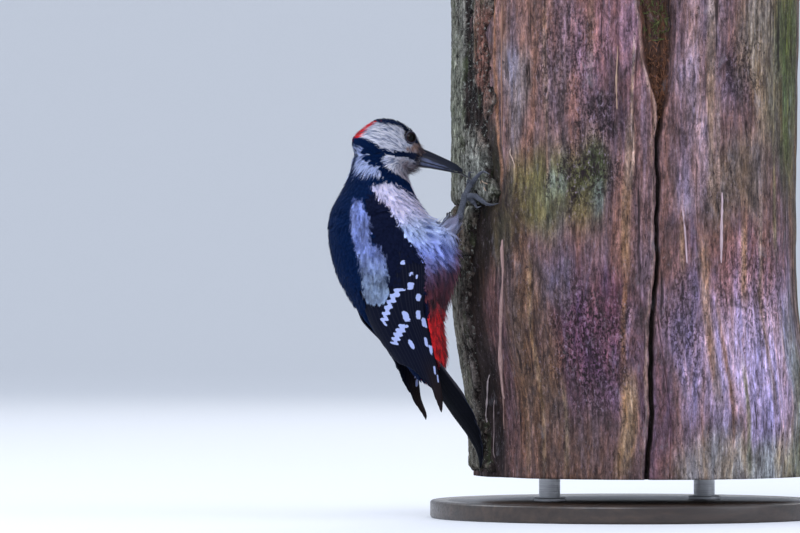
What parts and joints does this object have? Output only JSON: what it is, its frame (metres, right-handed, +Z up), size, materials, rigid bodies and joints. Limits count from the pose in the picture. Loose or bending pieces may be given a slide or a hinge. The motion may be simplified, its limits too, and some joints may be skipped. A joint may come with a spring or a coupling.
{
  "type": "great spotted woodpecker on a tree trunk",
  "caption": "Life-size black, white and red male woodpecker clinging to a cut length of dead trunk, held on a flat round stand.",
  "frame": {"origin": "middle of the flat base's underside, on the axis of the tree trunk", "axes": "+Z up; the bird clings to the trunk's -X side with its belly towards +X and its right side towards -Y"},
  "size_m": [0.2936, 0.224, 0.3],
  "materials": {
    "plumage_white": "soft feather",
    "plumage_black": "glossy feather",
    "plumage_belly": "soft feather",
    "horn": "satin horn",
    "eye": "wet",
    "leg": "scaly",
    "dead_wood": "weathered, split",
    "bark": "rough, flaking",
    "stand_wood": "dark satin lacquer",
    "stand_metal": "brushed"
  },
  "bodies": {
    "root": {"head": "plumage_white", "neck": "plumage_black", "trunk": "plumage_belly", "wing_right": "plumage_black", "wing_left": "plumage_black", "tail": "plumage_black", "thigh_right": "plumage_belly", "thigh_left": "plumage_belly", "tarsus_right": "leg", "tarsus_left": "leg", "foot_right": "leg", "foot_left": "leg", "claw_right_1": "horn", "claw_right_2": "horn", "claw_right_3": "horn", "claw_right_4": "horn", "claw_left_1": "horn", "claw_left_2": "horn", "claw_left_3": "horn", "claw_left_4": "horn", "bill_upper": "horn", "bill_lower": "horn", "tongue": "horn", "eye_right": "eye", "eye_left": "eye", "perch_wood": "dead_wood", "perch_bark_upper": "bark", "perch_bark_hold": "bark", "perch_bark_lower": "bark", "stand_base": "stand_wood", "stand_rod_front": "stand_metal", "stand_rod_back": "stand_metal"}
  },
  "joints": []
}
